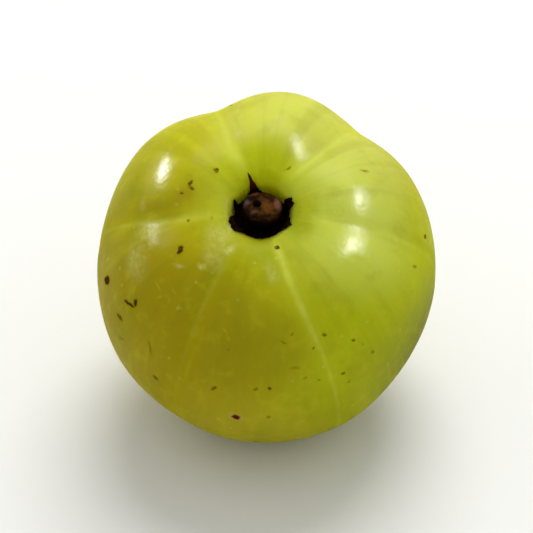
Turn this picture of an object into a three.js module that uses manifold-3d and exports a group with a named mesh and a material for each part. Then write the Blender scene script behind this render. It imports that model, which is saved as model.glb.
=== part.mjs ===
// Indian gooseberry (amla): one picked fruit, lying on a small flat spot of its underside.
//
// Four pieces, all of one growth and with no joint between them:
//   fruit      the round, slightly flattened drupe, with six shallow furrows that run from end to end,
//              a basin and a crater at the stem end, and a dimple at the blossom end
//   calyx      the dried six-pointed calyx that lines the crater
//   stem_stub  the short woody end of the stalk, broken off above the calyx, with a pith hole
//   style_tip  the dried three-pointed remnant of the style, in the blossom dimple
//
// Millimetres, +Z up. The origin is under the middle of the object's bounding box, on the surface it lies on.
// Each piece is shaped about the fruit's own axis, blossom end to stem end along +Z, then tipped as it lies.

import * as THREE from "three";
import { mergeVertices } from "three/addons/utils/BufferGeometryUtils.js";
import Module from "manifold-3d";

const wasm = await Module();
wasm.setup();

// ---------------------------------------------------------------- driving dimensions

const RADIUS = 16.7; // half of the fruit's smaller width, at its equator
const WIDER_BY = 1.01; // its larger width over its smaller one
const STEM_SHOULDER = { r: 5.8, z: 14.8 }; // the rim of the shallow basin around the stem
const CRATER_MOUTH = { r: 2.75, z: 13.8 }; // where the crater's wall starts, under its rounded edge
const CRATER_FLOOR = { r: 2.4, z: 11.2 };
const CRATER_OFFSET = { x: -0.1, y: 0.25 }; // how far the crater and what it holds stand off the fruit's axis
const OFFSET_FADES = { from: 3.5, to: 10 }; // the radii between which the skin stops following that offset
const BLOSSOM_SHOULDER = { r: 2.4, z: -15.0 };
const BLOSSOM_DIMPLE_Z = -14.4;
// How far the flank's curve handles reach above and below the equator; 0.5523 would be a true ellipse.
const FULLNESS = { stem: 0.56, blossom: 0.535 };

// The six furrows, counterclockwise seen from the stem: the direction each has on the flank, and the one it
// bends to at the stem; how far it is drawn in near the stem; how far the lobe that follows it swells out
// there; and what that lobe swells by lower down the flank.
const FURROWS = [
  { deg: 52, stemDeg: 48, depth: 0.85, lobe: 1.5, flank: 0.2 },
  { deg: 108, stemDeg: 113, depth: 0.5, lobe: 1.05, flank: 0.12 },
  { deg: 173, stemDeg: 188, depth: 0.3, lobe: 0.55, flank: 0.08 },
  { deg: 238, stemDeg: 238, depth: 0.22, lobe: 0.45, flank: 0.05 },
  { deg: 295, stemDeg: 290, depth: 0.22, lobe: 0.35, flank: -0.3 },
  { deg: 357, stemDeg: 347, depth: 0.25, lobe: 0.8, flank: 0.1 },
];
const FURROWS_AT_EQUATOR = 0.14; // the share of their depth left at the equator and below

const STEM_LEAN_DEG = 26; // how far the stem end leans to the front, -Y
const SIDE_LEAN_DEG = 2; // and to the left, -X
const FLAT_DEPTH = 0.5; // how deep the resting spot is pressed into the round underside

const GAP = 0.3; // clearance between neighbouring pieces
const CALYX_THICKNESS = 0.45;
const SEPAL_NOTCH_R = 1.8;
// Each sepal's direction, how far out its point reaches, and how far it turns up along the crater's wall.
const SEPALS = [
  { deg: 15, tip: 2.4, rise: 2.3 },
  { deg: 104, tip: 2.45, rise: 2.9 },
  { deg: 154, tip: 2.3, rise: 1.6 },
  { deg: 200, tip: 2.4, rise: 2.3 },
  { deg: 262, tip: 2.3, rise: 1.9 },
  { deg: 330, tip: 2.4, rise: 2.3 },
];
const STUB = { foot: 1.1, waist: 1.25, head: 1.85, height: 3.1, pith: 0.38, pithDepth: 0.9, leanDeg: 4.5 };
const STYLE = { points: [0, 120, 240], tip: 0.95, notch: 0.38, thickness: 0.45 };

const ROUND_STEPS = 72;
const FLANK_STEPS = 11; // along each half of the flank

// ---------------------------------------------------------------- helpers

const { degToRad: rad, radToDeg: toDeg, smoothstep: smooth, lerp } = THREE.MathUtils;

/** A turned solid: an outline of (radius, height) points, from the axis up and back to the axis. */
function turned(outline, steps) {
  const lathe = new THREE.LatheGeometry(outline, steps);
  return lathe.rotateX(Math.PI / 2); // the lathe's +Y becomes +Z
}

/** A closed geometry as a manifold-3d solid. */
function solidOf(geometry) {
  const bare = geometry.index ? geometry.toNonIndexed() : geometry.clone();
  for (const name of Object.keys(bare.attributes)) if (name !== "position") bare.deleteAttribute(name);
  const merged = mergeVertices(bare, 1e-4);
  return new wasm.Manifold(
    new wasm.Mesh({
      numProp: 3,
      vertProperties: merged.attributes.position.array,
      triVerts: new Uint32Array(merged.index.array),
    }),
  );
}

function geometryOf(solid) {
  const { vertProperties, triVerts } = solid.getMesh();
  return new THREE.BufferGeometry()
    .setAttribute("position", new THREE.BufferAttribute(vertProperties, 3))
    .setIndex(new THREE.BufferAttribute(triVerts, 1));
}

/** A flat star around +Z, standing on z = 0, with a bowed point for each { deg, tip } and notches between. */
function star(points, notchRadius, thickness) {
  const shape = new THREE.Shape();
  const at = (radius, deg) => [radius * Math.cos(rad(deg)), radius * Math.sin(rad(deg))];
  const halfway = points.map(({ deg }, i) => {
    const next = i + 1 < points.length ? points[i + 1].deg : points[0].deg + 360;
    return (next - deg) / 2;
  });
  shape.moveTo(...at(notchRadius, points[0].deg - halfway.at(-1)));
  points.forEach(({ deg, tip }, i) => {
    const before = halfway.at(i - 1);
    const after = halfway[i];
    shape.quadraticCurveTo(...at(tip * 0.92, deg - before * 0.45), ...at(tip, deg));
    shape.quadraticCurveTo(...at(tip * 0.92, deg + after * 0.45), ...at(notchRadius, deg + after));
  });
  return new THREE.ExtrudeGeometry(shape, { depth: thickness, bevelEnabled: false, curveSegments: 3 });
}

// ---------------------------------------------------------------- the fruit

/** The fruit's outline, blossom end to stem end. */
function fruitOutline() {
  const lower = (RADIUS - BLOSSOM_SHOULDER.r) * FULLNESS.blossom;
  const upper = (RADIUS - STEM_SHOULDER.r) * FULLNESS.stem;
  const dimple = new THREE.CubicBezierCurve(
    new THREE.Vector2(0, BLOSSOM_DIMPLE_Z),
    new THREE.Vector2(BLOSSOM_SHOULDER.r * 0.4, BLOSSOM_DIMPLE_Z),
    new THREE.Vector2(BLOSSOM_SHOULDER.r * 0.6, BLOSSOM_SHOULDER.z),
    new THREE.Vector2(BLOSSOM_SHOULDER.r, BLOSSOM_SHOULDER.z),
  );
  const lowerFlank = new THREE.CubicBezierCurve(
    new THREE.Vector2(BLOSSOM_SHOULDER.r, BLOSSOM_SHOULDER.z),
    new THREE.Vector2(BLOSSOM_SHOULDER.r + lower, BLOSSOM_SHOULDER.z),
    new THREE.Vector2(RADIUS, BLOSSOM_SHOULDER.z * FULLNESS.blossom),
    new THREE.Vector2(RADIUS, 0),
  );
  const upperFlank = new THREE.CubicBezierCurve(
    new THREE.Vector2(RADIUS, 0),
    new THREE.Vector2(RADIUS, STEM_SHOULDER.z * FULLNESS.stem),
    new THREE.Vector2(STEM_SHOULDER.r + upper, STEM_SHOULDER.z),
    new THREE.Vector2(STEM_SHOULDER.r, STEM_SHOULDER.z),
  );
  const basin = new THREE.QuadraticBezierCurve(
    new THREE.Vector2(STEM_SHOULDER.r, STEM_SHOULDER.z),
    new THREE.Vector2(CRATER_MOUTH.r + 0.2, STEM_SHOULDER.z),
    new THREE.Vector2(CRATER_MOUTH.r, CRATER_MOUTH.z),
  );
  return [
    ...dimple.getPoints(3),
    ...lowerFlank.getSpacedPoints(FLANK_STEPS).slice(1),
    ...upperFlank.getSpacedPoints(FLANK_STEPS).slice(1),
    ...basin.getPoints(5).slice(1),
    new THREE.Vector2(CRATER_FLOOR.r, CRATER_FLOOR.z),
    new THREE.Vector2(0, CRATER_FLOOR.z),
  ];
}

/** The furrows before and after an azimuth, and how far it lies from one to the other, 0 to 1. */
function betweenFurrows(azimuthDeg) {
  const around = (azimuthDeg + 360) % 360;
  const passed = FURROWS.filter((furrow) => furrow.deg <= around).length;
  const before = FURROWS[(passed - 1 + FURROWS.length) % FURROWS.length];
  const after = FURROWS[passed % FURROWS.length];
  const span = (after.deg - before.deg + 360) % 360;
  return { before, after, across: ((around - before.deg + 360) % 360) / span };
}

/** How far the skin stands out from the turned outline, at an azimuth and an angle from the stem. */
function relief({ before, after, across }, fromStemDeg) {
  const low = smooth(fromStemDeg, 55, 95);
  const swell = lerp(before.lobe, before.flank, low) * Math.pow(Math.sin(Math.PI * across), 0.8);
  const drawnIn = lerp(before.depth, after.depth, across) * lerp(1, FURROWS_AT_EQUATOR, low);
  const clearOfEnds = smooth(fromStemDeg, 14, 34) * (1 - smooth(fromStemDeg, 125, 170));
  return (swell - drawnIn) * clearOfEnds;
}

/** How many degrees the furrows have turned from their direction on the flank towards the one at the stem. */
function bend({ before, after, across }, fromStemDeg) {
  const atStem = lerp(before.stemDeg - before.deg, after.stemDeg - after.deg, across);
  return atStem * (1 - smooth(fromStemDeg, 12, 75));
}

/** The fruit about its own axis: the turned outline, swollen into its six lobes, a little wider than deep. */
function fruitBody() {
  const body = turned(fruitOutline(), ROUND_STEPS);
  const place = body.getAttribute("position");
  const normal = body.getAttribute("normal");
  const up = new THREE.Vector3(0, 0, 1);
  const point = new THREE.Vector3();
  for (let i = 0; i < place.count; i++) {
    point.fromBufferAttribute(place, i);
    const r = Math.hypot(point.x, point.y);
    const fromStem = toDeg(Math.atan2(r, point.z));
    const sector = betweenFurrows(toDeg(Math.atan2(point.y, point.x)));
    const out = r > 1e-6 ? relief(sector, fromStem) : 0;
    point.addScaledVector(new THREE.Vector3().fromBufferAttribute(normal, i), out);
    point.applyAxisAngle(up, rad(bend(sector, fromStem)));
    point.y *= WIDER_BY;
    const withCrater = point.z > 0 ? 1 - smooth(r, OFFSET_FADES.from, OFFSET_FADES.to) : 0;
    point.x += CRATER_OFFSET.x * withCrater;
    point.y += CRATER_OFFSET.y * withCrater;
    place.setXYZ(i, point.x, point.y, point.z);
  }
  return body;
}

// ---------------------------------------------------------------- calyx, stub and style

/** The calyx: a six-pointed dried disc, its points turned up against the crater's wall. */
function calyxSolid() {
  const sepals = star(SEPALS, SEPAL_NOTCH_R, CALYX_THICKNESS);
  const place = sepals.getAttribute("position");
  for (let i = 0; i < place.count; i++) {
    const r = Math.hypot(place.getX(i), place.getY(i));
    const azimuth = toDeg(Math.atan2(place.getY(i), place.getX(i)));
    const away = ({ deg }) => Math.abs(((azimuth - deg + 540) % 360) - 180);
    const nearest = SEPALS.reduce((best, sepal) => (away(sepal) < away(best) ? sepal : best));
    place.setZ(i, place.getZ(i) + nearest.rise * smooth(r, SEPAL_NOTCH_R, nearest.tip));
  }
  return geometryOf(solidOf(sepals));
}

/** The stub: a short woody peg that widens to a rounded, broken head with a pith hole. */
function stubSolid() {
  const { foot, waist, head, height, pith, pithDepth } = STUB;
  const side = new THREE.SplineCurve([
    new THREE.Vector2(foot, 0),
    new THREE.Vector2(waist, height * 0.3),
    new THREE.Vector2(head, height * 0.68),
    new THREE.Vector2(head * 0.82, height * 0.93),
    new THREE.Vector2(pith * 1.5, height),
  ]);
  return turned(
    [
      new THREE.Vector2(0, 0),
      ...side.getPoints(10),
      new THREE.Vector2(pith, height - 0.15),
      new THREE.Vector2(pith * 0.8, height - pithDepth),
      new THREE.Vector2(0, height - pithDepth),
    ],
    24,
  );
}

// ---------------------------------------------------------------- assembly

const skin = new THREE.MeshStandardMaterial({ color: 0xaeb332, roughness: 0.28, metalness: 0 });
const driedCalyx = new THREE.MeshStandardMaterial({ color: 0x1d120a, roughness: 0.8, metalness: 0 });
const bark = new THREE.MeshStandardMaterial({ color: 0x5b3e1e, roughness: 0.75, metalness: 0 });

function piece(name, geometry, material) {
  const mesh = new THREE.Mesh(geometry, material);
  mesh.name = name;
  return mesh;
}

// As it lies: the stem end leans to the front and a little to the left.
const tipped = new THREE.Group();
tipped.rotation.set(rad(STEM_LEAN_DEG), -rad(SIDE_LEAN_DEG), 0);
tipped.updateMatrix();

const lying = fruitBody().applyMatrix4(tipped.matrix);
lying.computeBoundingBox();
const { min, max } = lying.boundingBox;
const stand = new THREE.Vector3(-(min.x + max.x) / 2, -(min.y + max.y) / 2, -min.z - FLAT_DEPTH);
tipped.position.copy(stand);

// The resting spot: everything under the surface is cut away.
const under = new THREE.BoxGeometry(4 * RADIUS, 4 * RADIUS, 10).translate(0, 0, -5);
const resting = solidOf(lying.translate(stand.x, stand.y, stand.z)).subtract(solidOf(under));
const fruit = piece("fruit", geometryOf(resting), skin);

const calyxZ = CRATER_FLOOR.z + GAP;
const calyx = piece("calyx", calyxSolid(), driedCalyx);
calyx.position.set(CRATER_OFFSET.x, CRATER_OFFSET.y, calyxZ);
tipped.add(calyx);

const stub = piece("stem_stub", stubSolid(), bark);
stub.position.set(CRATER_OFFSET.x, CRATER_OFFSET.y, calyxZ + CALYX_THICKNESS + GAP);
stub.rotation.y = rad(STUB.leanDeg);
tipped.add(stub);

const stylePoints = STYLE.points.map((deg) => ({ deg, tip: STYLE.tip }));
const styleTip = piece("style_tip", star(stylePoints, STYLE.notch, STYLE.thickness), bark);
styleTip.position.z = BLOSSOM_DIMPLE_Z - GAP - STYLE.thickness;
tipped.add(styleTip);

const gooseberry = new THREE.Group();
gooseberry.add(fruit, tipped);

export default gooseberry;
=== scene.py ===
# %% [markdown]
# # An Indian gooseberry, from its CAD frame to a finished render
#
# The object is one picked amla: a round, waxy, yellow-green drupe with six pale furrows, a crater with a
# dead calyx and a woody stub at its stem end, and a small dry style remnant at its blossom end. The
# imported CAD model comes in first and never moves. It says where things are and how large they are. Every
# piece made below is finer than its CAD solid, sits in the same place, and stands in for it.

# %% The CAD frame
from collections import namedtuple
from math import atan2, cos, degrees, exp, hypot, pi, radians, sin, sqrt

import bmesh
import bpy
from mathutils import Matrix, Vector, noise
from mathutils.bvhtree import BVHTree
from mathutils.geometry import interpolate_bezier


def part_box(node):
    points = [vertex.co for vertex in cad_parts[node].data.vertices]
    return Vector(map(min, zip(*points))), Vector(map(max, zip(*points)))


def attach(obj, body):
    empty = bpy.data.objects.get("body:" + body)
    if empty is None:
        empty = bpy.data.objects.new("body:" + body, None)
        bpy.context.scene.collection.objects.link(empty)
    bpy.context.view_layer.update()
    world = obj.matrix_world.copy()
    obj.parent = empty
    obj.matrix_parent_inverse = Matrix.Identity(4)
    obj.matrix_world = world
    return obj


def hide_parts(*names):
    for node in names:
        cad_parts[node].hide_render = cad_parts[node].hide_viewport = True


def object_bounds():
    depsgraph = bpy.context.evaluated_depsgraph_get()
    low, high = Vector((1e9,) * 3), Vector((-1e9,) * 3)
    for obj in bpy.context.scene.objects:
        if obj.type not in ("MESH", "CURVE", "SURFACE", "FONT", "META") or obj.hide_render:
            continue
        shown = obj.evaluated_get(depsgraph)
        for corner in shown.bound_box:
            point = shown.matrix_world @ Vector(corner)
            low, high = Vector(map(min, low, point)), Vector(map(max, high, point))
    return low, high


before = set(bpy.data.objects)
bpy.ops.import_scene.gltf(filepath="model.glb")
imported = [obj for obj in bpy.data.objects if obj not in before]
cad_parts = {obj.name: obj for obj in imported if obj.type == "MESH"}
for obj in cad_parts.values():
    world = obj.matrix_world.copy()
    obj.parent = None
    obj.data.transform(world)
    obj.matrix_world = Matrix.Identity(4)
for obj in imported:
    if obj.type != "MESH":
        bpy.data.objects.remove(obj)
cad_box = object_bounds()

print("CAD box in mm:", [[round(c * 1000, 2) for c in corner] for corner in cad_box])

# %% [markdown]
# ## Growing the pieces upright, laying them down last
#
# A fruit is simplest to shape about its own axis: blossom end at the bottom, stem end at the top, in
# millimetres. All four pieces are made like that, and one matrix then tips them as the fruit lies, with
# the stem end leaning to the front. The alternative, modelling it tipped from the start, would make every
# ring of vertices a slanted one.

# %% The lean
FORWARD, ASIDE = radians(26), radians(-2)
LEAN = Matrix.Rotation(FORWARD, 4, "X") @ Matrix.Rotation(ASIDE, 4, "Y")
print("the stem end points to", [round(c, 3) for c in LEAN @ Vector((0, 0, 1))])

# %% [markdown]
# ## The fruit's outline
#
# A drupe grows round its axis, so half of its outline, turned about that axis, gives most of its shape.
# Bezier runs draw such an outline with very few numbers: a dimple at the blossom end, a lower and an
# upper flank that are nearly quarter ellipses, and a basin that rolls over into the crater the stalk
# stands in.

# %% The outline, blossom end to stem end
BLOSSOM_DIMPLE = (0, -14.4)
BLOSSOM_SHOULDER = (2.4, -15.0)
EQUATOR = (16.7, 0)
STEM_SHOULDER = (5.8, 14.8)
CRATER_MOUTH = (2.75, 13.8)
CRATER_FOOT = (2.4, 11.2)


def bend(start, start_handle, end_handle, end, count):
    """Points along one Bezier run of (radius, height) corners, without its first point."""
    corners = [Vector((r, 0, z)) for r, z in (start, start_handle, end_handle, end)]
    return interpolate_bezier(*corners, count + 1)[1:]


outline = [
    Vector((BLOSSOM_DIMPLE[0], 0, BLOSSOM_DIMPLE[1])),
    *bend(BLOSSOM_DIMPLE, (0.96, -14.4), (1.44, -15.0), BLOSSOM_SHOULDER, 12),
    *bend(BLOSSOM_SHOULDER, (10.05, -15.0), (16.7, -8.03), EQUATOR, 68),
    *bend(EQUATOR, (16.7, 8.29), (11.9, 14.8), STEM_SHOULDER, 72),
    *bend(STEM_SHOULDER, (4.1, 14.8), (2.95, 14.5), CRATER_MOUTH, 16),
    *bend(CRATER_MOUTH, (2.68, 13.0), (2.6, 11.3), CRATER_FOOT, 6),
    *bend(CRATER_FOOT, (1.6, 11.15), (0.8, 11.15), (0, 11.15), 3),
]
print("outline points:", len(outline), "widest at", EQUATOR[0], "mm from the axis")

# %% [markdown]
# ## Six furrows and the lobes between them
#
# An amla's skin shows six furrows that run from the stem basin to the blossom end, deep near the stem and
# almost nothing at the equator, and the flesh swells into a lobe between each two. Modelling lobes as six
# patches would need seams. Here every vertex of the turned body is moved along its own normal instead, by
# an amount that depends only on its direction around the axis and its angle from the stem, which is what
# a sculpting brush would do by hand. Each furrow also bends a few degrees to one side where it nears the
# stem.

# %% The relief of the skin
Furrow = namedtuple("Furrow", "flank stem drawn_in lobe flank_lobe paleness")
# Directions on the flank and at the stem in degrees, then in mm how far the furrow is drawn in, how far
# the lobe after it swells near the stem, and how far that lobe swells on the flank. Last, how pale its
# line is, 0 to 1.
FURROWS = [
    Furrow(52, 48, 0.85, 1.5, 0.2, 0.6),
    Furrow(108, 113, 0.5, 1.05, 0.12, 0.7),
    Furrow(173, 188, 0.3, 0.55, 0.08, 0.55),
    Furrow(238, 238, 0.22, 0.45, 0.05, 0.2),
    Furrow(295, 290, 0.22, 0.35, -0.3, 1.0),
    Furrow(357, 347, 0.25, 0.8, 0.1, 0.6),
]


def ramp(low, high, value):
    """0 below low, 1 above high, and a smooth climb between."""
    t = min(max((value - low) / (high - low), 0), 1)
    return t * t * (3 - 2 * t)


def mix(a, b, t):
    return a + (b - a) * t


def between_furrows(around):
    """The furrows before and after a direction on the flank, and how far it lies from one to the other."""
    passed = sum(furrow.flank <= around for furrow in FURROWS)
    before, after = FURROWS[passed - 1], FURROWS[passed % 6]
    span = (after.flank - before.flank) % 360
    return before, after, ((around - before.flank) % 360) / span


def relief(around, from_stem, furrow_mm):
    """How far the skin stands out from the turned body, furrow_mm along it from the nearest furrow."""
    before, after, across = between_furrows(around)
    low = ramp(52, 92, from_stem)
    rounded = (hypot(sin(pi * across), 0.22) - 0.22) / (hypot(1, 0.22) - 0.22)
    swell = mix(before.lobe, before.flank_lobe, low) * rounded
    drawn_in = mix(before.drawn_in, after.drawn_in, across) * mix(1, 0.14, low)
    clear_of_ends = ramp(14, 34, from_stem) * (1 - ramp(125, 170, from_stem))
    crease = 0.02 * exp(-((furrow_mm / 0.5) ** 2)) * ramp(16, 26, from_stem) * (1 - ramp(60, 130, from_stem))
    return (swell - drawn_in) * clear_of_ends - crease


def turn_to_stem(around, from_stem):
    """Degrees that the skin is turned about the axis, so that the furrows bend towards the stem."""
    before, after, across = between_furrows(around)
    return mix(before.stem - before.flank, after.stem - after.flank, across) * (1 - ramp(12, 75, from_stem))


print("furrows:", len(FURROWS), "the deepest drawn in", max(furrow.drawn_in for furrow in FURROWS), "mm")


# %% [markdown]
# ## Turning the body and moving its skin
#
# A spin of the outline in 360 steps puts a column of vertices on every whole degree, so each furrow has a
# column of its own and its crease stays sharp. Four layers of noise follow the lobes: a slow one that
# keeps the fruit from looking turned on a lathe, two quicker ones that give the waxy skin the faint
# waviness seen in its highlights, and a slight wander that lets each furrow stray by half a degree as it
# runs. The crater isn't quite on the axis, so the skin around it is drawn along. Three attributes are
# stored on the way, because the skin's material needs them: the distance to the nearest furrow in mm, how
# pale that furrow is, and the angle from the stem.

# %% The turned body
def turned(outline, steps):
    """A body spun from an outline about the upright axis, with merged poles and faces that agree."""
    bm = bmesh.new()
    points = [bm.verts.new(p) for p in outline]
    lines = [bm.edges.new(pair) for pair in zip(points, points[1:])]
    bmesh.ops.spin(
        bm, geom=points + lines, cent=(0, 0, 0), axis=(0, 0, 1), angle=2 * pi, steps=steps, use_merge=True
    )
    bmesh.ops.remove_doubles(bm, verts=bm.verts, dist=0.001)
    bmesh.ops.recalc_face_normals(bm, faces=bm.faces)
    bm.normal_update()
    return bm


fruit = turned(outline, 360)
print("vertices turned:", len(fruit.verts))


# %% The skin, moved along its normals
CRATER_OFFSET = Vector((-0.1, 0.25, 0))
WAVE_ROOM = 0.025  # mm that the body is drawn in, so that the waves of its skin stay within the fruit's size
SLOW_WAVE, QUICK_WAVE, FINE_WAVE = 0.16, 0.03, 0.012  # mm that the skin's waves stand out
STRAY = 0.6  # degrees that a furrow strays
DEEPER_THAN_WIDE = 1.01  # the fruit is a little longer from front to back


def around_axis(point):
    """The direction of a point around the axis, 0 to 360 degrees, from +X."""
    return round(degrees(atan2(point.y, point.x)), 3) % 360


def apart(a, b):
    """Degrees between two directions."""
    return abs((a - b + 180) % 360 - 180)


furrow_layer = fruit.verts.layers.float.new("to_furrow_mm")
pale_layer = fruit.verts.layers.float.new("furrow_paleness")
stem_layer = fruit.verts.layers.float.new("from_stem_deg")
for v in fruit.verts:
    r, around = hypot(v.co.x, v.co.y), around_axis(v.co)
    from_stem = degrees(atan2(r, v.co.z))
    nearest = min(FURROWS, key=lambda furrow: apart(around, furrow.flank))
    furrow_mm = radians(apart(around, nearest.flank)) * r
    v[furrow_layer], v[pale_layer], v[stem_layer] = furrow_mm, nearest.paleness, from_stem
    out = relief(around, from_stem, furrow_mm) if r > 1e-6 else 0
    on_flank = ramp(14, 40, from_stem)
    out += on_flank * (SLOW_WAVE * noise.noise(v.co / 9) + QUICK_WAVE * noise.noise(v.co / 3.5))
    out += FINE_WAVE * noise.noise(v.co / 1.6)
    wander = STRAY * noise.noise(v.co / 12 + Vector((7, 0, 0))) * ramp(20, 60, from_stem)
    v.co += v.normal * (out - WAVE_ROOM)
    v.co.rotate(Matrix.Rotation(radians(turn_to_stem(around, from_stem) + wander), 3, "Z"))
    v.co.y *= DEEPER_THAN_WIDE
    if v.co.z > 0:
        v.co += CRATER_OFFSET * (1 - ramp(3.5, 10, r))
heights = [v.co.z for v in fruit.verts]
print("from end to end, in mm:", round(max(heights) - min(heights), 2))

# %% [markdown]
# ## Lying down
#
# The tipped fruit is measured, and its place is the CAD fruit's place: the middles of the two boxes agree
# in X and Y, and its lowest point goes as deep under the floor as the resting spot is pressed in. What
# would be under the floor is then rounded off up to it, as soft flesh gives way under a fruit's own
# weight.

# %% The place in the frame
PRESSED = 0.5  # mm that the resting spot is pressed in

tipped = [LEAN @ v.co for v in fruit.verts]
lowest = min(p.z for p in tipped)
middle = [(min(p[i] for p in tipped) + max(p[i] for p in tipped)) / 2 for i in (0, 1)]
cad_low, cad_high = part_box("fruit")
seat = Vector(((cad_low + cad_high) / 2).xy).to_3d() * 1000 - Vector((*middle, lowest + PRESSED))
LAID = Matrix.Translation(seat) @ LEAN
PLACE = Matrix.Scale(0.001, 4) @ LAID
print("middle of the fruit in mm:", [round(c, 2) for c in seat])

# %% The flat underneath
ROUNDED = 0.02  # mm2, how softly the flat runs out into the round
LOW = 1.5  # mm above the floor, under which the flat can reach

stand_up = LAID.inverted()
for v in fruit.verts:
    p = LAID @ v.co
    if p.z < LOW:
        p.z = (p.z + sqrt(p.z * p.z + ROUNDED)) / 2
        v.co = stand_up @ p
fruit_tree = BVHTree.FromBMesh(fruit)
print("vertices on the flat:", sum((LAID @ v.co).z < 0.1 for v in fruit.verts))

# %% What finishes a piece
def finish_piece(bm, name, node, material):
    """Turns a bmesh in upright millimetres into a smooth object in the frame that stands for a CAD node."""
    bmesh.ops.transform(bm, matrix=PLACE, verts=bm.verts)
    mesh = bpy.data.meshes.new(name)
    bm.to_mesh(mesh)
    bm.free()
    mesh.shade_smooth()
    mesh.materials.append(material)
    piece = bpy.data.objects.new(name, mesh)
    bpy.context.scene.collection.objects.link(piece)
    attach(piece, "root")
    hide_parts(node)
    size = [round(s * 1000, 2) for s in piece.dimensions]
    print(f"{name}: {len(mesh.polygons)} faces, {size} mm")


# %% [markdown]
# ## From hex values and lists to materials
#
# Colours are written as the sRGB hex values that a colour picker shows, and Blender's sockets want linear
# light, so one function turns one into the other. A second adds a node, sets what it is told and links
# what it is given. Every node is made by it. The rest say what a maker would: where a point is on the
# upright fruit, how much something shows there, and which coats of colour lie over which. A list of coats
# is easier to read and to change than the long chain of nodes that it becomes.

# %% Colours and nodes
def colour(hex_value):
    """sRGB hex to linear RGBA."""
    parts = [int(hex_value[i : i + 2], 16) / 255 for i in (1, 3, 5)]
    return [c / 12.92 if c <= 0.04045 else ((c + 0.055) / 1.055) ** 2.4 for c in parts] + [1]


def add(kind, inputs, **settings):
    """A node in the present tree, with inputs by name or number: a socket is linked, the rest are values."""
    node = tree.nodes.new(kind)
    for key, value in settings.items():
        setattr(node, key, value)
    for key, value in inputs.items():
        if isinstance(value, bpy.types.NodeSocket):
            tree.links.new(value, node.inputs[key])
        else:
            node.inputs[key].default_value = value
    return node


def new_material(name):
    """An empty node material, and its tree, which becomes the present one."""
    material = bpy.data.materials.new(name)
    material.use_nodes = True
    material.node_tree.nodes.clear()
    return material, material.node_tree


def upright_mm():
    """Where a point is in the upright fruit, in mm: the Mapping node undoes the lying down."""
    here = add("ShaderNodeTexCoord", {}).outputs["Object"]
    inputs = {"Vector": here, "Location": seat / 1000, "Rotation": LEAN.to_euler(), "Scale": (0.001,) * 3}
    return add("ShaderNodeMapping", inputs, vector_type="TEXTURE").outputs[0]


print("a mid grey, from hex to linear:", [round(c, 3) for c in colour("#808080")])


# %% How much shows, and coats of colour
def shown(*limits):
    """How much something shows: the product of its limits, each a plain factor or a smooth change.

    A smooth change is a value, where it starts and where it ends, then the two results if not 0 and 1.
    """
    product = None
    for limit in limits:
        if isinstance(limit, tuple):
            inputs = dict(zip(("Value", "From Min", "From Max", "To Min", "To Max"), limit))
            limit = add("ShaderNodeMapRange", inputs, interpolation_type="SMOOTHSTEP").outputs[0]
        if product is not None:
            limit = add("ShaderNodeMath", {0: product, 1: limit}, operation="MULTIPLY").outputs[0]
        product = limit
    return product


def painted(base, *coats):
    """A colour with coats laid over it, each a hex value and how much of it shows."""
    for hex_value, shows in coats:
        inputs = {"Factor": shows, "A": base, "B": colour(hex_value)}
        base = add("ShaderNodeMix", inputs, data_type="RGBA").outputs["Result"]
    return base


def ellipsoid(vector, centre, turn, half_sizes):
    """How deep a point is in an ellipsoid: 1 at its centre, 0 at its edge and outside."""
    inputs = {"Vector": vector, "Location": centre, "Rotation": turn, "Scale": half_sizes}
    local = add("ShaderNodeMapping", inputs, vector_type="TEXTURE").outputs[0]
    return add("ShaderNodeTexGradient", {0: local}, gradient_type="SPHERICAL").outputs["Fac"]


# %% [markdown]
# ## Waxy amla skin
#
# The skin of a ripe amla is thin, smooth and waxed by the plant itself, over flesh that light passes
# into. So the surface has a soft gloss like a polished apple's, the colour seems to come from inside, and
# the furrows and the fine strands that run from end to end show as paler lines under the wax. Light in
# the flesh is subsurface scattering over a few millimetres. The colour is laid down in the order in which
# it lies in the fruit: the flesh's slow changes first, then strands, then the pale furrows, then what
# marks the skin from outside.
#
# The slow changes are broad patches, each an ellipse on the skin: greener where the flesh is firm, olive
# where it has been pressed or has ripened in shade. Four pale patches on the top and upper right are partly
# a lighter flesh, partly a painted sheen: their whitish tint stands for a soft reflection of the sky. Three
# dark olive ones on the lower right and along the crater's right rim are painted shade. A place is given as
# a direction around the axis and an angle from the stem, which is how one would point at it on a globe. A
# Mapping node then centres the ellipse on the skin there, turns it and gives it its length and width, and a
# spherical gradient fades it out to its edge.

# %% Skin: what it is drawn with
skin, tree = new_material("Waxy amla skin")
mm = upright_mm()
furrow_mm, furrow_paleness, from_stem = [
    add("ShaderNodeAttribute", {}, attribute_name=name).outputs["Fac"]
    for name in ("to_furrow_mm", "furrow_paleness", "from_stem_deg")
]

# What each cloud of soft noise is for, how large its blots are in mm, and its detail.
CLOUDS = {
    "ripening": (9, 2),
    "dark_mottle": (2.9, 4),
    "pale_mottle": (1.7, 4),
    "wavy": (1.4, 2),
    "along_furrow": (1.3, 3),
    "scorch": (0.8, 2),
    "in_rubbed_and_sheen": (0.5, 3),
    "grain": (0.35, 1),
    "in_marks": (0.3, 3),
}
clouds = {}
for name, (size_mm, detail) in CLOUDS.items():
    inputs = {"Vector": mm, "Scale": 1 / size_mm, "Detail": detail, "Roughness": 0.55}
    clouds[name] = add("ShaderNodeTexNoise", inputs).outputs["Fac"]
print("clouds of noise:", len(clouds))

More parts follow.
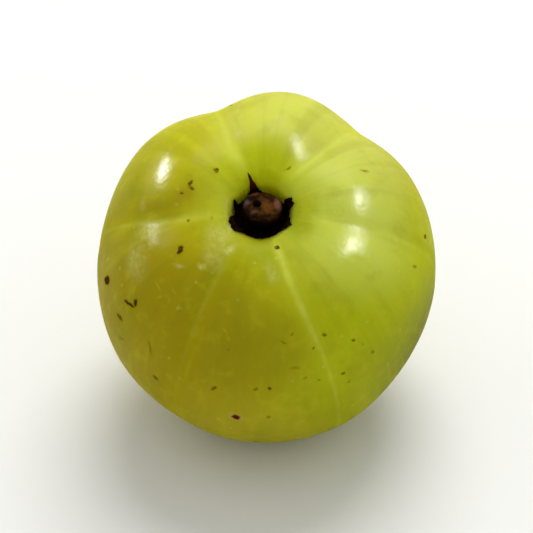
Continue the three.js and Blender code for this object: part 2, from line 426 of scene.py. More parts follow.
# %% Skin: patches in the flesh, with painted sheen and painted shade
def patch(around, stem_deg, length, width, slant, strength, softness, vector):
    """0 to strength inside an ellipse on the skin, length by width in mm, slant degrees off the meridian."""
    a, s = radians(around), radians(stem_deg)
    centre = fruit_tree.ray_cast(Vector((0, 0, 0)), Vector((cos(a) * sin(s), sin(a) * sin(s), cos(s))))[0]
    turn = centre.to_track_quat("X", "Z") @ Matrix.Rotation(radians(slant), 3, "X").to_quaternion()
    depth = min(3 * width, 16)  # well through the skin, so that its waves don't leave the ellipse
    inside = ellipsoid(vector, centre, turn.to_euler(), (depth, width / 2, length / 2))
    return shown((inside, 0, softness, 0, strength))


# Each: direction, angle from the stem, length, width, slant, strength, colour.
FLESH_AND_PAINTED_LIGHT_PATCHES = [
    (325, 62, 44, 40, 0, 0.9, "#bfca06"),
    (218, 68, 44, 40, 0, 0.9, "#aa9700"),
    # Partly lighter flesh, partly painted sheen: the next four are painted whiter, as a soft reflection of
    # the sky.
    (65, 30, 30, 26, 0, 0.85, "#d4da5c"),
    (30, 42, 16, 16, 0, 0.6, "#c2c858"),
    (350, 32, 20, 18, 0, 0.8, "#d1dd5c"),
    (106, 33, 10, 8, 0, 0.6, "#e0e264"),
    (142, 38, 20, 18, 0, 0.7, "#b0ac04"),
    (262, 92, 22, 20, 0, 0.6, "#bbae22"),
    (182, 40, 9, 7, 20, 0.6, "#9a9002"),
    (158, 37, 7, 6, 0, 0.6, "#c6c014"),
    # Painted shade: the next two darken the lower right side.
    (340, 106, 24, 22, 0, 0.9, "#7f7f06"),
    (315, 92, 26, 20, 0, 0.5, "#7f8000"),
    (268, 50, 15, 17, 0, 0.6, "#a09400"),
    (246, 28, 8, 8, 0, 0.5, "#989400"),
    # Painted shade along the crater's right rim.
    (350, 14.5, 4.5, 7, 0, 0.8, "#8b9402"),
    (277, 18, 8, 5, 0, 0.6, "#98a010"),
    (90, 17, 8, 12, 0, 0.9, "#c2cc00"),
]
flesh = painted(colour("#b4ae06"), ("#bcb80e", shown((clouds["ripening"], 0.35, 0.65))))
flesh = painted(flesh, *((hex_value, patch(*where, 0.75, mm)) for *where, hex_value in FLESH_AND_PAINTED_LIGHT_PATCHES))
print("flesh patches:", len(FLESH_AND_PAINTED_LIGHT_PATCHES))

# %% [markdown]
# Around the stem the flesh is greener. Little light gets into the crater, so its wall is painted pale as
# painted light, most of all behind the stub, where the shade would otherwise turn it nearly black.

# %% Skin: the basin, and painted light in the crater
upright = add("ShaderNodeSeparateXYZ", {0: mm}).outputs
flesh = painted(
    flesh,
    ("#a9b400", shown((from_stem, 9, 15), (from_stem, 32, 15), 0.45)),
    # Painted light: the crater's deep wall is painted pale where little light gets in.
    ("#c8d010", shown((from_stem, 11.5, 9.5))),
    # Painted light: the wall behind the stub is painted bright yellow-green against its shade.
    ("#f6fa12", shown((from_stem, 14, 13), (upright["Y"], 0.6, 2.4), (upright["Z"], 14.45, 13.6))),
)
print("the crater's mouth is", round(degrees(atan2(*CRATER_MOUTH)), 1), "degrees from the stem")

# %% [markdown]
# Strands come next: fine pale fibres that run from end to end just under the skin. Noise that is squeezed
# around the axis and stretched along it draws them, so the direction around the axis, as a unit vector,
# is what it reads. Two even clouds of noise mottle the flesh between them. The furrows are a soft wide
# pale band with a brighter line in it, uneven along its length, that is broad near the stem and narrows
# down the flank.

# %% Skin: strands and mottles
FINE_STRAND, BROAD_STRAND = 0.045, 0.17  # in radii, so about 0.75 and 2.8 mm at the equator

flat = add("ShaderNodeVectorMath", {0: mm, 1: (1, 1, 0)}, operation="MULTIPLY").outputs[0]
direction = add("ShaderNodeVectorMath", {0: flat}, operation="NORMALIZE").outputs[0]
stretched = {0: mm, 1: (0, 0, 0.012), 2: (0.37, 0.21, 0)}
height = add("ShaderNodeVectorMath", stretched, operation="MULTIPLY_ADD").outputs[0]
along = add("ShaderNodeVectorMath", {0: direction, 1: height}, operation="ADD").outputs[0]
fine, broad = [
    add(
        "ShaderNodeTexNoise", {"Vector": along, "Scale": 1 / size, "Detail": detail, "Roughness": 0.55}
    ).outputs["Fac"]
    for size, detail in ((FINE_STRAND, 3), (BROAD_STRAND, 1.5))
]
flesh = painted(
    flesh,
    ("#dcde20", shown((fine, 0.5, 0.8, 0, 0.14), (from_stem, 22, 60))),
    ("#8c8f06", shown((fine, 0.5, 0.25, 0, 0.1), (from_stem, 22, 60))),
    ("#d8da20", shown((broad, 0.52, 0.75, 0, 0.25))),
    ("#8f9004", shown((broad, 0.48, 0.25, 0, 0.25), (from_stem, 8, 30))),
    ("#dcda28", shown((clouds["pale_mottle"], 0.5, 0.72, 0, 0.18))),
    ("#8a8804", shown((clouds["dark_mottle"], 0.5, 0.72, 0, 0.2))),
)
print("strands about", [round(size * EQUATOR[0], 2) for size in (FINE_STRAND, BROAD_STRAND)], "mm wide")

# %% Skin: furrows
reach = shown((from_stem, 12, 20), (from_stem, 75, 28, 0.35, 1), (from_stem, 165, 110), furrow_paleness)
narrowing = shown(furrow_mm, (from_stem, 62, 20, 2.3, 1.1))  # the line is broad near the stem only
line = shown((narrowing, 0.9, 0, 0, 0.7), (clouds["along_furrow"], 0.3, 0.7, 0.45, 1), reach)
flesh = painted(flesh, ("#ccd43a", shown((furrow_mm, 2.0, 0, 0, 0.2), reach)), ("#dde45c", line))
print("the palest furrow runs at", max(FURROWS, key=lambda furrow: furrow.paleness).flank, "degrees")

# %% [markdown]
# Lenticels are the skin's breathing pores, scattered pale dots about a third of a millimetre wide.
# Voronoi cells place one dot each, and a random number per cell leaves most cells empty.

# %% Skin: lenticels
PORE_SPACING = 1.5  # mm

pores = add("ShaderNodeTexVoronoi", {"Vector": mm, "Scale": 1 / PORE_SPACING, "Randomness": 1.0})
chosen = add("ShaderNodeSeparateColor", {"Color": pores.outputs["Color"]}).outputs[0]
dots = shown((pores.outputs["Distance"], 0.16, 0.07), (chosen, 0.45, 0.6), 0.3)
flesh = painted(flesh, ("#dde06c", dots))
print("a lenticel every", PORE_SPACING, "mm at most")

# %% [markdown]
# Marks from outside are what a fruit collects on the tree and in the basket: dark specks, short scratches
# that healed brown, pale squiggles of russet, and places where the wax was rubbed dull. The rubbed places
# are painted whitish: partly the bloom of rubbed wax, partly a painted sheen with painted glints. All are
# small ellipses, placed like the patches. Noise frays the coordinates that they read, which makes each
# one's edge irregular.

# %% Skin: frayed coordinates
FRAY = 0.75  # mm that the noise spans: an edge moves about a third of this, one way or the other
FRAY_RATE = 1.4  # blots of that noise in a mm

blots = {"Vector": mm, "Scale": FRAY_RATE, "Detail": 5.0, "Roughness": 0.7}
fray = add("ShaderNodeTexNoise", blots).outputs["Color"]
fray = add("ShaderNodeVectorMath", {0: fray, 1: (0.5, 0.5, 0.5)}, operation="SUBTRACT").outputs[0]
frayed = add("ShaderNodeVectorMath", {0: fray, 1: (FRAY,) * 3, 2: mm}, operation="MULTIPLY_ADD").outputs[0]
print("edges fray over blots of", round(1 / FRAY_RATE, 2), "mm")

# %% Skin: where the dark marks are
# Each: direction, angle from the stem, length, width, slant, strength.
DARK_MARKS = [
    (193, 67, 2.3, 1.2, -21, 1.0),
    (209, 58, 2.27, 0.55, -65, 0.95),
    (211, 55, 1.22, 0.63, 18, 0.95),
    (208, 67, 1.73, 0.8, -62, 0.6),
    (212, 75, 1.75, 0.7, -32, 0.35),
    (225, 65, 2.32, 0.45, 28, 0.4),
    (230, 77, 1.08, 0.85, 73, 0.55),
    (252, 67, 1.07, 0.6, -36, 0.6),
    (267, 64, 0.72, 0.52, -62, 0.45),
    (272, 64, 0.5, 0.66, 84, 0.7),
    (271, 79, 0.5, 0.9, 83, 0.4),
    (207, 31, 1.26, 0.75, 34, 0.85),
    (291, 16, 0.71, 0.61, 44, 0.75),
    (136, 22, 0.6, 0.65, 47, 0.7),
    (158, 26, 1.26, 0.5, 83, 0.65),
    (166, 28, 0.5, 0.45, 6, 0.6),
    (161, 25, 0.5, 0.45, 18, 0.55),
    (187, 26, 0.5, 0.58, -13, 0.45),
    (189, 18, 0.46, 0.46, -7, 0.35),
    (59, 19, 0.74, 0.46, -33, 0.4),
    (62, 18, 0.4, 0.35, -64, 0.3),
    (25, 39, 1.56, 0.65, -15, 0.4),
    (297, 49, 0.71, 0.64, 64, 0.55),
    (307, 56, 0.63, 0.55, 53, 0.6),
    (291, 52, 0.48, 0.45, 67, 0.45),
    (310, 60, 0.51, 0.48, 47, 0.35),
    (312, 66, 0.9, 0.65, 42, 0.4),
    (279, 47, 0.79, 0.35, 34, 0.4),
    (283, 45, 0.59, 0.42, 75, 0.35),
    (299, 67, 0.73, 0.61, 73, 0.55),
    (300, 72, 0.67, 0.6, 49, 0.35),
    (282, 57, 1.42, 0.5, 72, 0.35),
    (285, 62, 0.53, 0.5, 66, 0.35),
    (290, 65, 0.66, 0.53, 62, 0.35),
    (348, 62, 1.34, 0.5, 26, 0.4),
    (3, 68, 1.0, 0.6, 22, 0.7),
    (103, 58, 2.0, 0.5, 14, 0.75),
    (256, 50, 0.6, 0.54, -76, 0.3),
]
print("dark marks:", len(DARK_MARKS), "the longest", max(mark[2] for mark in DARK_MARKS), "mm")

# %% Skin: where the scars and the rubbed wax with its painted sheen are
PALE_SCARS = [
    (215, 44, 1.3, 0.4, 80, 0.6),
    (218, 46, 1.19, 0.34, -36, 0.6),
    (222, 41, 1.07, 0.33, 77, 0.5),
    (223, 45, 0.84, 0.31, 5, 0.4),
    (229, 44, 0.77, 0.38, 63, 0.5),
    (253, 44, 0.87, 0.37, 55, 0.6),
    (255, 46, 0.88, 0.36, 30, 0.6),
    (212, 35, 0.97, 0.39, -30, 0.4),
    (223, 29, 1.19, 0.43, -73, 0.5),
    (229, 29, 0.78, 0.34, 72, 0.45),
    (326, 29, 1.25, 0.46, -3, 0.5),
    (199, 43, 1.26, 0.39, -45, 0.35),
]
# Rubbed wax, painted whitish: partly its bloom, partly a painted sheen and painted glints.
RUBBED_WAX_AND_SHEEN = [
    (197, 47, 6.5, 4.5, 75, 0.45),
    (186, 41, 4.5, 3.5, 0, 0.5),
    (226, 24, 4.5, 3.0, 60, 0.4),
    (217, 19, 5.5, 3.6, 60, 0.5),
    (193, 39, 2.6, 1.9, 70, 0.5),
    (198, 44, 1.78, 0.9, -51, 0.4),
    (215, 34, 1.5, 0.7, -41, 0.5),
    (225, 29, 1.3, 0.9, -70, 0.7),
    (233, 19, 2.4, 1.5, -21, 0.8),
    (211, 14, 2.73, 0.9, 52, 0.7),
    (278, 24, 3.8, 1.8, 11, 0.4),
    (171, 43, 2.4, 1.3, 86, 0.35),
]
print("scars and rubbed places:", len(PALE_SCARS), "and", len(RUBBED_WAX_AND_SHEEN))

# %% Skin: the marks laid on
BRUISE = (167, 27, 3.6, 2.8, 53, 0.6)
BITE = (260, 80)  # an insect's bite: a sunken red-brown spot with a pale callus around it


def strongest(marks, softness, vector=frayed):
    """One mask for a list of marks: the strongest wins where two overlap."""
    total = 0.0
    for mark in marks:
        mask = patch(*mark, softness, vector)
        total = add("ShaderNodeMath", {0: total, 1: mask}, operation="MAXIMUM").outputs[0]
    return total


rubbed_and_sheen = shown(strongest(RUBBED_WAX_AND_SHEEN, 1.0), (clouds["in_rubbed_and_sheen"], 0.35, 0.65, 0.4, 1))
dark_marks = shown(strongest(DARK_MARKS, 0.6), (clouds["in_marks"], 0.35, 0.55, 0.65, 1))
bite = patch(*BITE, 1.15, 1.25, -57, 1.0, 0.8, frayed)
scorched = shown((from_stem, 13.2, 11), (clouds["scorch"], 0.3, 0.7, 0.5, 1), (upright["Y"], 1.2, -1, 0.1, 1))
flesh = painted(
    flesh,
    # Painted sheen: the rubbed places painted whitish, partly the bloom of rubbed wax.
    ("#dcdc80", rubbed_and_sheen),
    ("#c9c035", shown(strongest(PALE_SCARS, 0.9), 0.8)),
    ("#a08604", patch(*BRUISE, 1, mm)),
    ("#6f5203", shown((dark_marks, 0, 0.6, 0, 0.85))),
    ("#331d02", shown((dark_marks, 0.35, 0.9, 0, 0.85))),
    ("#c8b860", patch(*BITE, 1.9, 2.1, -57, 0.5, 0.7, frayed)),
    ("#8c3408", shown((bite, 0, 0.4))),
    ("#3a0f02", shown((bite, 0.5, 1))),
    ("#553608", scorched),
)
print("marks on the skin:", len(DARK_MARKS) + len(PALE_SCARS) + len(RUBBED_WAX_AND_SHEEN) + 2)

# %% [markdown]
# The wax is a thin clear coat, and all of the gloss is its own: the flesh under it is matt. The coat is
# kept weak, so that a bright room doesn't veil the deep colour under it with grey. Bumps of a few
# hundredths of a millimetre, one layer as wide as orange peel and one much finer, keep reflections from
# looking like glass. Dead spots, rubbed or worn wax, the furrows and the crater's wall are duller, with
# hardly any coat.

# %% Skin: where it is dull, and its relief
WORN_WAX = [(99, 32, 8, 6, 0, 0.8), (190, 41, 7, 6, 0, 0.55), (328, 37.6, 4.5, 4.5, 0, 0.7)]
SKIN_RELIEF = 0.00012  # m from the lowest to the highest bump, before Strength weakens it

dull = rubbed_and_sheen
furrow_bottom, crater_wall = shown((furrow_mm, 2.2, 0.4, 0, 0.35)), shown((from_stem, 17, 12))
for duller in (dark_marks, furrow_bottom, crater_wall, strongest(WORN_WAX, 0.7, mm)):
    dull = add("ShaderNodeMath", {0: dull, 1: duller}, operation="MAXIMUM").outputs[0]
peel, grain = shown(clouds["wavy"], 0.8), shown(clouds["grain"], 0.2)
bumps = add("ShaderNodeMath", {0: peel, 1: grain}, operation="ADD").outputs[0]
pitted = add("ShaderNodeMath", {0: bumps, 1: shown(dark_marks, 0.5)}, operation="SUBTRACT").outputs[0]
normal = add("ShaderNodeBump", {"Strength": 0.35, "Distance": SKIN_RELIEF, "Height": pitted}).outputs[0]
print("worn places:", len(WORN_WAX))

# %% Skin: flesh under a coat of wax
LIGHT_DEPTH = 0.002  # m that red light wanders in the flesh: green nearly as far, blue a quarter of it
WAX, WORN = 0.14, 0.01

surface = add(
    "ShaderNodeBsdfPrincipled",
    {
        "Base Color": flesh,
        "Roughness": 0.5,
        "Specular IOR Level": 0.0,
        "Subsurface Weight": shown((from_stem, 16, 12.5, 0.3, 1)),
        "Subsurface Radius": (1.0, 0.9, 0.25),
        "Subsurface Scale": LIGHT_DEPTH,
        "Coat Weight": shown((dull, 0, 0.7, WAX, WORN)),
        "Coat Roughness": 0.22,
        "Normal": normal,
        "Coat Normal": normal,
    },
)
add("ShaderNodeOutputMaterial", {"Surface": surface.outputs[0]})
finish_piece(fruit, "waxy_fruit", "fruit", skin)
print("nodes in the skin:", len(tree.nodes))

# %% [markdown]
# ## The dead calyx
#
# The flower's six sepals stay on the fruit and die. They shrivel to a nearly black cup that lines the
# crater, with ragged points that curl out over its rim, and one that stands up as a thin spike. A cup
# with points could be cut from a sheet and folded up, but it is simpler to let the cup grow: a path runs
# from the axis along the crater's floor, up its wall and out over its rim, and is spun about the axis.
# Each column of the spun sheet is then drawn back along that path, as far as the sepal in its direction
# reaches. Last, the sheet is wrinkled and given its thickness.

# %% The calyx's path and its sepals
CALYX_PATH = [
    Vector((0, 0, 11.5)),
    *bend((0, 11.5), (0.7, 11.5), (1.4, 11.5), (2.05, 11.5), 8),
    *bend((2.05, 11.5), (2.3, 11.5), (2.38, 11.6), (2.42, 11.95), 8),
    *bend((2.42, 11.95), (2.49, 12.5), (2.55, 13.05), (2.6, 13.6), 8),
    *bend((2.6, 13.6), (2.66, 14.1), (2.95, 14.5), (3.75, 14.68), 14),
]
Sepal = namedtuple("Sepal", "around half_width reach blunt lift sweep")
# Direction and half width in degrees, reach along the path in mm, how blunt the point is, how far it is
# lifted off the path in mm, and how many degrees its tip is swept aside.
SEPALS = [
    Sepal(14, 19, 5.4, 3.0, 0.15, 0),
    Sepal(104, 20, 6.2, 0.6, 0.5, 5),
    Sepal(157, 9, 4.7, 1.2, 0.5, 0),
    Sepal(212, 34, 5.5, 3.0, 0.05, 0),
    Sepal(268, 34, 5.0, 2.5, 0, 0),
    Sepal(328, 30, 5.45, 2.5, 0.05, 0),
]
SEPAL_BASE = 2.9  # mm along the path that all of the cup reaches
print("the sepals reach", [sepal.reach for sepal in SEPALS], "mm along the path")

# %% A withered star, and the calyx
def walked(path, distance):
    """The point that lies a distance along a path."""
    for start, end in zip(path, path[1:]):
        step = (end - start).length
        if distance <= step:
            return start.lerp(end, distance / step)
        distance -= step
    return path[-1].copy()


def longest_at(sepals, around, base):
    """The sepal that reaches furthest in a direction, and how far: no less than the base of all of them."""
    def reach_of(sepal):
        off = apart(around, sepal.around) / sepal.half_width
        return mix(sepal.reach, base, min(off, 1) ** sepal.blunt)
    best = max(sepals, key=reach_of)
    return best, reach_of(best)


def withered_star(path, sepals, base, ragged, rings, thickness):
    """A cup spun from a path, drawn back between its sepals, lifted, swept, wrinkled and thickened."""
    total = sum((b - a).length for a, b in zip(path, path[1:]))
    spaced = [walked(path, total * i / rings) for i in range(rings + 1)]
    bm = turned(spaced, 360)
    reach_layer = bm.verts.layers.float.new("reach_mm")
    for v in bm.verts:
        around = around_axis(v.co)
        in_plane = Vector((hypot(v.co.x, v.co.y), 0, v.co.z))
        share = min(range(rings + 1), key=lambda i: (spaced[i] - in_plane).length) / rings
        sepal, reach = longest_at(sepals, around, base)
        fray = ragged * noise.noise(Vector((cos(radians(around)), sin(radians(around)), 0)) * 9)
        distance = share * (reach + fray * ramp(0, 0.5, share))
        up = ramp(base, sepal.reach, distance)
        p = walked(path, distance)
        p.z += sepal.lift * up
        p.rotate(Matrix.Rotation(radians(around + sepal.sweep * up * up), 3, "Z"))
        v.co = p
        v[reach_layer] = distance
    bm.normal_update()
    for v in bm.verts:
        depth = ramp(0.3 * base, base, v[reach_layer])
        v.co += v.normal * depth * (0.09 * noise.noise(v.co / 0.8) + 0.035 * noise.noise(v.co / 0.25))
    bmesh.ops.recalc_face_normals(bm, faces=bm.faces)
    bmesh.ops.solidify(bm, geom=bm.faces[:], thickness=thickness)
    return bm


calyx = withered_star(CALYX_PATH, SEPALS, SEPAL_BASE, ragged=0.35, rings=30, thickness=0.14)
bmesh.ops.translate(calyx, verts=calyx.verts, vec=CRATER_OFFSET)
print("vertices in the calyx:", len(calyx.verts))

# %% [markdown]
# ## Dried calyx
#
# Dead sepal tissue is brittle and quite matt, nearly black where it is thick and reddish brown where it
# thins out to a point. Fine wrinkles run along each sepal. They are about a tenth of a millimetre apart,
# and are drawn about twice as coarse, so that they show.

# %% Calyx: colour and relief
WRINKLE = 0.22  # mm

dried_calyx, tree = new_material("Dried calyx")
mm = upright_mm()
spike_foot = ellipsoid(mm, (-0.8, 3.0, 14.5), (0, 0, 0), (1.3, 1.2, 1.1))
noisy = {"Vector": mm, "Scale": 1 / WRINKLE, "Detail": 3, "Roughness": 0.55}
wrinkles = add("ShaderNodeTexNoise", noisy).outputs["Fac"]
sepal_colour = painted(
    colour("#0f0704"), ("#30190b", shown((wrinkles, 0.42, 0.72))), ("#4e200c", shown((spike_foot, 0, 0.6)))
)
normal = add("ShaderNodeBump", {"Strength": 0.7, "Distance": 0.00008, "Height": wrinkles}).outputs[0]
surface = add(
    "ShaderNodeBsdfPrincipled",
    {"Base Color": sepal_colour, "Roughness": 0.75, "Specular IOR Level": 0.0, "Normal": normal},
)
add("ShaderNodeOutputMaterial", {"Surface": surface.outputs[0]})
finish_piece(calyx, "dried_calyx", "calyx", dried_calyx)

# %% [markdown]
# ## The stalk's stub
#
# When the fruit is picked, its stalk breaks off just above the calyx and leaves a peg that widens to a
# knob. Its broken face is rounded, rough and a little slanted, with a hole off its centre where the pith
# was. A spun outline gives the knob. Closely spaced rings on its top leave enough vertices to push the
# pith in and roughen the break.

# %% The stub's mesh
STUB_FOOT = 11.62
STUB_PIVOT = Vector((0, 0, 12.25))
STUB_LEAN = Matrix.Rotation(radians(4.5), 4, "Y")
BREAK_SLOPE = 0.24  # how steeply the broken face rises to the front
PITH = Vector((-0.55, 0.15, 0))
PITH_RADIUS = 0.38
PITH_DEPTH = 0.8

knob = [
    Vector((0, 0, STUB_FOOT)),
    *bend((0, STUB_FOOT), (0.4, STUB_FOOT), (0.8, STUB_FOOT), (1.15, STUB_FOOT), 4),
    *bend((1.15, STUB_FOOT), (1.25, 12.7), (1.5, 13.3), (1.84, 14.3), 20),
    *bend((1.84, 14.3), (2.0, 14.8), (1.8, 15.05), (1.3, 15.2), 14),
    *bend((1.3, 15.2), (0.9, 15.3), (0.45, 15.28), (0, 15.28), 20),
]
stub = turned(knob, 120)
for v in stub.verts:
    r, on_top = hypot(v.co.x, v.co.y), ramp(14.6, 15.15, v.co.z)
    rough = 0.2 * noise.noise(v.co / 1.3) + 0.07 * noise.noise(v.co / 0.45)
    fibres = 0.04 * noise.noise(Vector((v.co.x, v.co.y, v.co.z * 0.1)) * 4) * (1 - on_top)
    pushed = PITH_DEPTH * ramp(PITH_RADIUS * 1.2, PITH_RADIUS * 0.6, (v.co.xy - PITH.xy).length) * on_top
    lip = 0.07 * exp(-(((v.co.xy - PITH.xy).length - 0.5) / 0.12) ** 2) * on_top
    v.co += v.normal * (rough + fibres) * ramp(0.1, 0.6, r)
    v.co.z += lip - pushed - BREAK_SLOPE * v.co.y * ramp(13.8, 14.9, v.co.z)
bmesh.ops.recalc_face_normals(stub, faces=stub.faces)
stub_place = Matrix.Translation(CRATER_OFFSET + STUB_PIVOT) @ STUB_LEAN @ Matrix.Translation(-STUB_PIVOT)
bmesh.ops.transform(stub, matrix=stub_place, verts=stub.verts)
print("the stub's top is at", round(max(v.co.z for v in stub.verts), 2), "mm")

# %% [markdown]
# ## Broken, weathered wood
#
# The break is dry brown wood with lighter tan patches where fibres tore and faint rings around the pith.
# Two greyer spots on its left are painted highlights. The side of the knob keeps the stalk's dark bark.
# Painted shade darkens it on the left and towards the bottom, to as black as the calyx in the crater, and
# paints the pith's hole black.

# %% Stub: what it is drawn with
RINGS_REACH = 3  # mm around the pith
RINGS_WAVE = 100.0  # radians that the rings' wave runs through from the pith to that reach

broken_wood, tree = new_material("Broken woody stalk")
mm = upright_mm()
squeezed = add("ShaderNodeVectorMath", {0: mm, 1: (1, 1, 0.15)}, operation="MULTIPLY").outputs[0]
fibre, blotches = [
    add(
        "ShaderNodeTexNoise", {"Vector": where, "Scale": 1 / size, "Detail": 3, "Roughness": 0.55}
    ).outputs["Fac"]
    for where, size in ((squeezed, 0.16), (mm, 0.75))
]
by_pith = ellipsoid(mm, stub_place @ Vector((*PITH.xy, 15.25)), (0, 0, 0), (RINGS_REACH, RINGS_REACH, 6))
rings = add("ShaderNodeMath", {0: shown(by_pith, RINGS_WAVE)}, operation="SINE").outputs[0]
# Height as the fruit lies, which the painted shade below reads.
painted_shade_height = add("ShaderNodeVectorMath", {0: mm, 1: (0, 0.55, 1)}, operation="DOT_PRODUCT").outputs["Value"]
print("a ring every", round(RINGS_REACH * 2 * pi / RINGS_WAVE, 2), "mm")


# %% Stub: colour, with painted highlights and painted shade, and relief
def on_stub(centre, half_sizes, strength):
    """0 to strength inside a soft ellipsoid that moves with the stub."""
    return shown((ellipsoid(mm, stub_place @ Vector(centre), (0, 0, 0), half_sizes), 0, 0.7, 0, strength))


wood = painted(
    colour("#2c1808"),
    ("#54351a", shown((blotches, 0.42, 0.68))),
    ("#6b4318", on_stub((0.45, -0.1, 15.3), (0.9, 1.1, 0.7), 0.75)),
    ("#1c0f05", shown((rings, -0.2, 1, 0, 0.4))),
    ("#79522c", shown((fibre, 0.52, 0.75), 0.3)),
    ("#7a523a", on_stub((1.4, 0.1, 14.9), (0.5, 1.2, 0.7), 0.75)),
    # Painted highlights: two greyer spots on the left of the break.
    ("#6b5f64", on_stub((-1.45, 0.45, 14.95), (0.4, 0.5, 0.5), 0.55)),
    ("#544c34", on_stub((-0.7, -0.75, 15.3), (0.5, 0.3, 0.5), 0.6)),
    # Painted shade on the left of the knob, behind and in front.
    ("#150c07", on_stub((-1.0, 0.9, 15.0), (0.9, 0.7, 0.7), 0.8)),
    ("#1e120a", on_stub((-1.4, -0.6, 14.9), (0.9, 1.1, 0.8), 0.75)),
    # Painted shade: darker towards the bottom, nearly black in the crater.
    ("#0d0704", shown((painted_shade_height, 15.25, 14.3))),
    # Painted shade: the pith's hole painted black.
    ("#060302", shown((by_pith, 0.86, 0.89))),
)
normal = add("ShaderNodeBump", {"Strength": 0.8, "Distance": 0.00008, "Height": fibre}).outputs[0]
surface = add(
    "ShaderNodeBsdfPrincipled",
    {"Base Color": wood, "Roughness": 0.7, "Specular IOR Level": 0.0, "Normal": normal},
)
add("ShaderNodeOutputMaterial", {"Surface": surface.outputs[0]})
finish_piece(stub, "woody_stub", "stem_stub", broken_wood)

# %% [markdown]
# ## The style's remnant
#
# At the other end, in the blossom dimple, sits what is left of the flower's style: three short dry points
# around a small boss. It grows from the same function as the calyx, upside down and much smaller.

# %% The style's remnant
STYLE_PATH = [
    Vector((0, 0, -14.98)),
    *bend((0, -14.98), (0.2, -14.98), (0.25, -14.7), (0.45, -14.7), 10),
    *bend((0.45, -14.7), (0.65, -14.7), (0.8, -14.8), (1.05, -14.92), 8),
]
STYLE_POINTS = [Sepal(around, 40, 1.12, 1.2, 0, sweep) for around, sweep in ((0, 6), (120, -8), (240, 10))]
style = withered_star(STYLE_PATH, STYLE_POINTS, 0.62, ragged=0.06, rings=14, thickness=0.1)
print("points of the style:", len(STYLE_POINTS))

# %% [markdown]
# ## Dry style remnant
#
# The points are dry, matt and brown, like tea leaves, darker where they are thick. Flecks 0.15 mm wide
# are all that shows of their fibres.

# %% Style: colour and relief
FLECK = 0.15  # mm

dry_style, tree = new_material("Dry style remnant")
mm = upright_mm()
noisy = {"Vector": mm, "Scale": 1 / FLECK, "Detail": 3, "Roughness": 0.55}
flecks = add("ShaderNodeTexNoise", noisy).outputs["Fac"]
dry = painted(colour("#24160b"), ("#5e4526", shown((flecks, 0.45, 0.72))))
normal = add("ShaderNodeBump", {"Strength": 0.7, "Distance": 0.00005, "Height": flecks}).outputs[0]
surface = add("ShaderNodeBsdfPrincipled", {"Base Color": dry, "Roughness": 0.8, "Normal": normal})
add("ShaderNodeOutputMaterial", {"Surface": surface.outputs[0]})
finish_piece(style, "dry_style_tip", "style_tip", dry_style)

# %% [markdown]
# ## The camera
#
# It looks down on the fruit at 40 degrees from a little way off through a long lens, as one photographs
# small things on a table, so the fruit keeps its true proportions.

# %% Camera
ELEVATION = radians(40)
DISTANCE = 0.4

centre = Vector((0, 0, (cad_box[0].z + cad_box[1].z) / 2))
toward = Vector((0, -cos(ELEVATION), sin(ELEVATION)))
lens = bpy.data.cameras.new("long_lens")
lens.lens = 275
lens.clip_start, lens.clip_end = 0.01, 10
camera = bpy.data.objects.new("long_lens", lens)
camera.location = centre + toward * DISTANCE
camera.rotation_euler = (-toward).to_track_quat("-Z", "Y").to_euler()
bpy.context.scene.collection.objects.link(camera)
bpy.context.scene.camera = camera
print("camera at", [round(c, 3) for c in camera.location])

# %% [markdown]
# ## A white table
#
# The floor is matt white paper. To the lamps it is a mid grey, so it doesn't throw too much light up at
# the fruit, and to the camera and in reflections it is white. It still takes the fruit's shadow.

# %% Floor
def seen_or_reflected():
    """1 to the camera and in reflections and clear things, 0 to light on its way to the fruit."""
    ray = add("ShaderNodeLightPath", {}).outputs
    seen = ray["Is Camera Ray"]
    for kind in ("Is Glossy Ray", "Is Transmission Ray"):
        seen = add("ShaderNodeMath", {0: seen, 1: ray[kind]}, operation="MAXIMUM").outputs[0]
    return seen


paper, tree = new_material("Matt white paper")
pale = painted(colour("#d6d6d4"), ("#fbfbf8", seen_or_reflected()))
surface = add("ShaderNodeBsdfPrincipled", {"Base Color": pale, "Roughness": 0.9, "Specular IOR Level": 0.05})
add("ShaderNodeOutputMaterial", {"Surface": surface.outputs[0]})

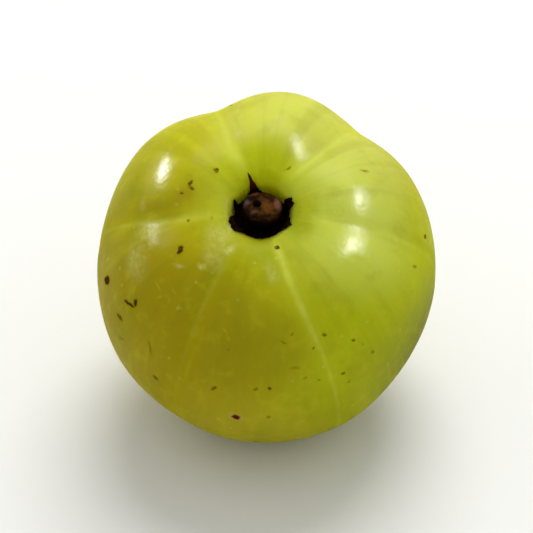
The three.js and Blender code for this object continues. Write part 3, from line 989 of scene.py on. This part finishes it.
floor_bm = bmesh.new()
bmesh.ops.create_grid(floor_bm, x_segments=1, y_segments=1, size=1.5)
floor_mesh = bpy.data.meshes.new("floor")
floor_bm.to_mesh(floor_mesh)
floor_bm.free()
floor_mesh.materials.append(paper)
floor = bpy.data.objects.new("floor", floor_mesh)
bpy.context.scene.collection.objects.link(floor)
print("floor:", [round(size, 1) for size in floor.dimensions.xy], "m")

# %% [markdown]
# ## The light
#
# Soft light from above and an even white room do all of the work. Two lights, a long narrow one on the
# left and a rounder one on the right with a dim glow around it, put the highlights on the shoulders,
# where wax shows what it is. The light that they would add to everything is already in the even room, so
# they show in reflections only.

# %% Lamps
def softbox(name, aim, distance, width, height, watts, only_reflected=False):
    """An area lamp in the direction aim from the fruit, facing it."""
    data = bpy.data.lights.new(name, "AREA")
    data.shape, data.size, data.size_y, data.energy = "ELLIPSE", width, height, watts
    lamp = bpy.data.objects.new(name, data)
    lamp.location = centre + Vector(aim).normalized() * distance
    lamp.rotation_euler = (-Vector(aim)).to_track_quat("-Z", "Y").to_euler()
    lamp.visible_diffuse = not only_reflected
    bpy.context.scene.collection.objects.link(lamp)


softbox("top_window", (0.1, 0.5, 0.83), 0.6, 0.45, 0.45, 2.3)
softbox("left_light", (-0.75, 0.48, 0.46), 0.5, 0.24, 0.055, 8.0, only_reflected=True)
softbox("right_light", (0.66, -0.035, 0.75), 0.5, 0.17, 0.1, 4.0, only_reflected=True)
softbox("right_glow", (0.68, 0.04, 0.73), 0.51, 0.32, 0.26, 6.5, only_reflected=True)
print("lamps:", len(bpy.data.lights))

# %% The room
ROOM_LIGHT = 0.55  # what reaches the fruit of a room that looks white

world = bpy.data.worlds.new("even_room")
bpy.context.scene.world = world
world.use_nodes = True
tree = world.node_tree
tree.nodes.clear()
brightness = shown((seen_or_reflected(), 0, 1, ROOM_LIGHT, 1))
room = add("ShaderNodeBackground", {"Color": (1, 1, 1, 1), "Strength": brightness})
add("ShaderNodeOutputWorld", {"Surface": room.outputs[0]})
bpy.context.scene.view_settings.view_transform = "Standard"
print("the room lights the fruit at", ROOM_LIGHT)
